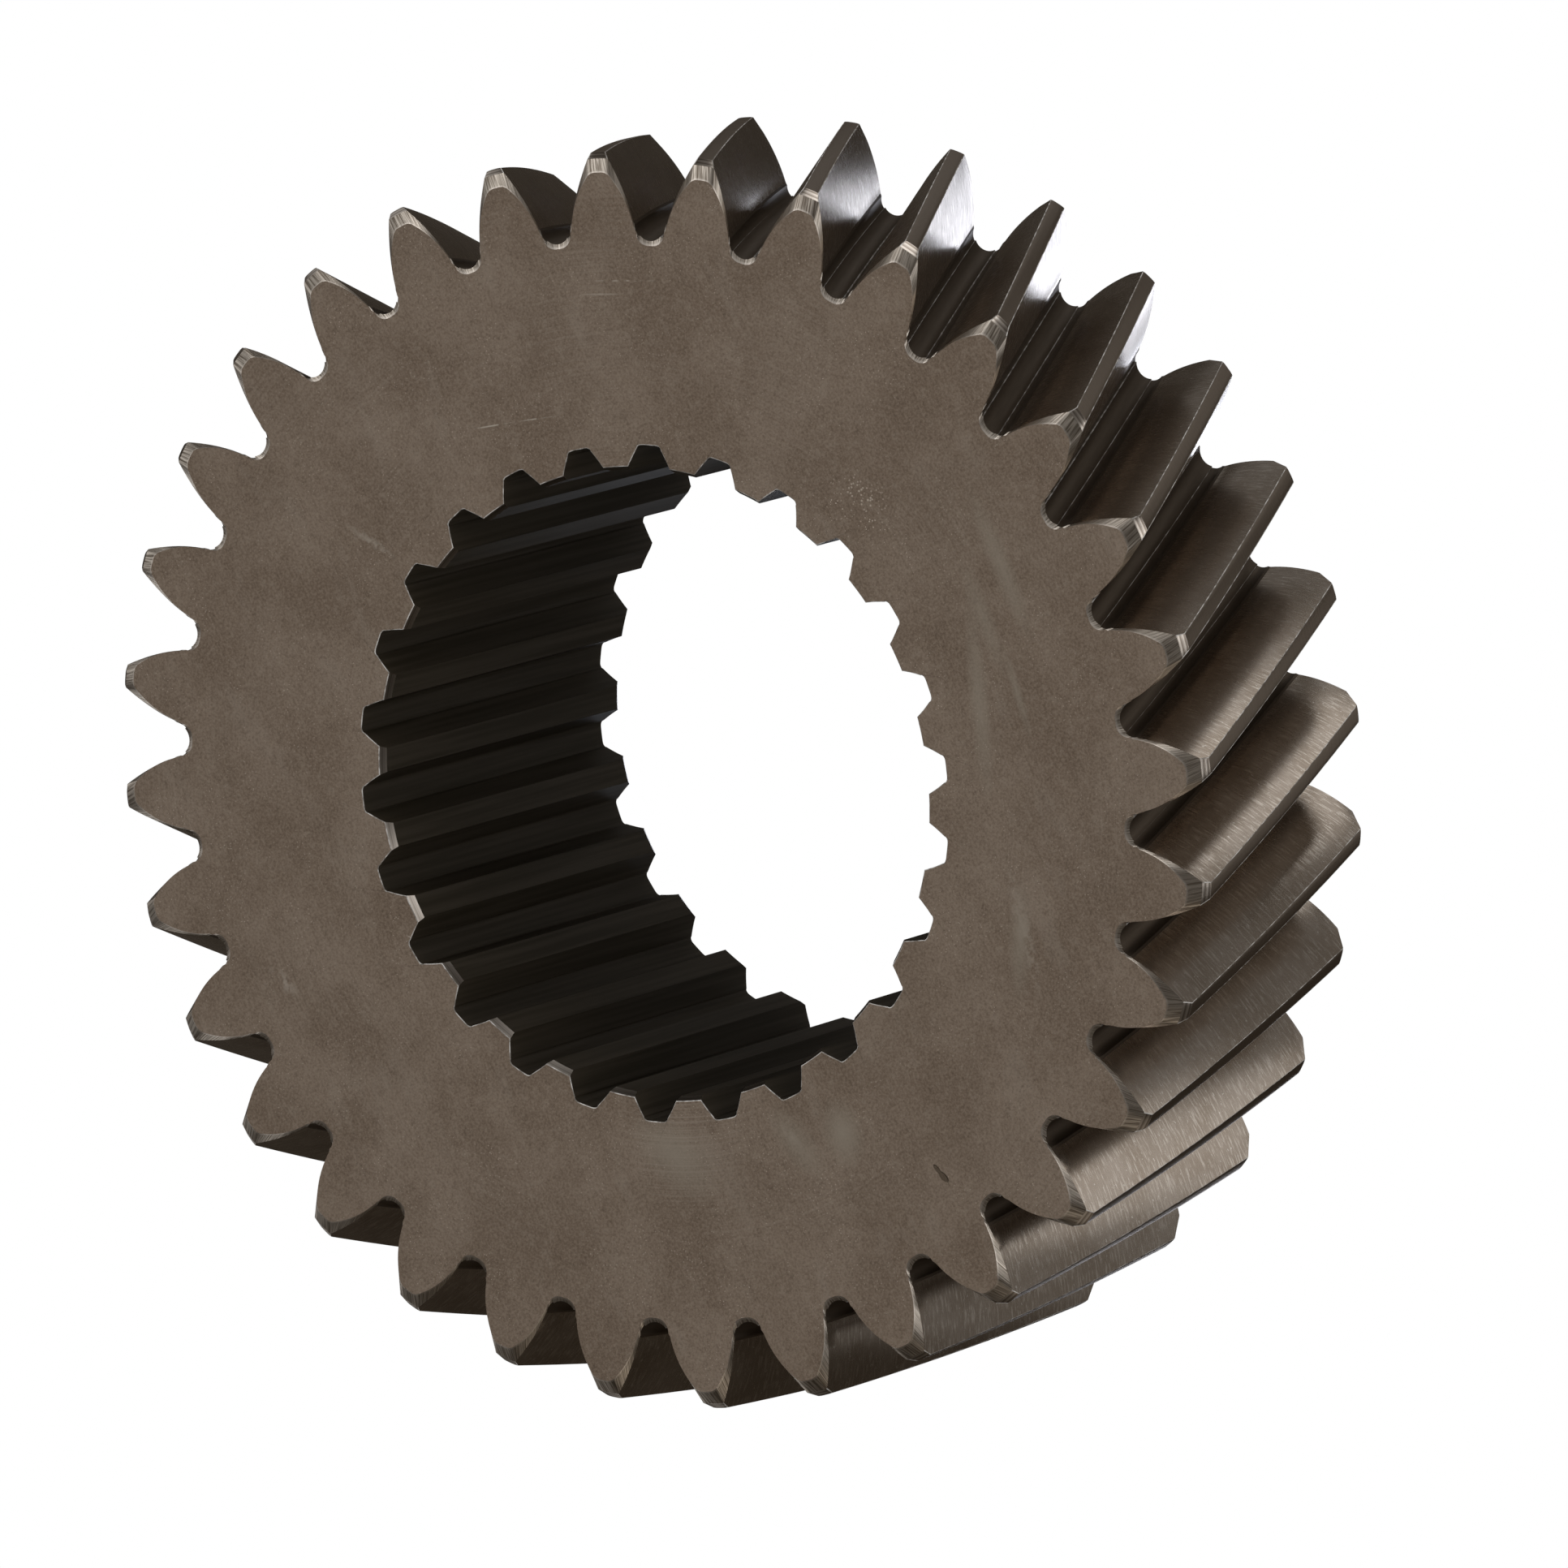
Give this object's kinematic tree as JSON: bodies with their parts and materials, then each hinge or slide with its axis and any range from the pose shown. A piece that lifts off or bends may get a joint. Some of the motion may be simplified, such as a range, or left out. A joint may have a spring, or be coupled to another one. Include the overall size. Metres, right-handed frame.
{
  "type": "helical gear",
  "caption": "One-piece helical transmission gear with a flat front face, bevelled tooth ends, a plain rear hub and a straight involute spline through the bore.",
  "frame": {"origin": "on the gear's axis, in the plane of the hub's end face that the gear rests on", "axes": "+Z along the gear's axis from the hub's end to the flat front face, +X through the middle of a tooth and of a spline groove at the front face"},
  "size_m": [0.102, 0.102, 0.0374],
  "materials": {
    "steel": "hardened steel with a satin grey-brown skin, ground tooth flanks and turned, filed edges"
  },
  "bodies": {
    "root": {"gear": "steel"}
  },
  "joints": []
}
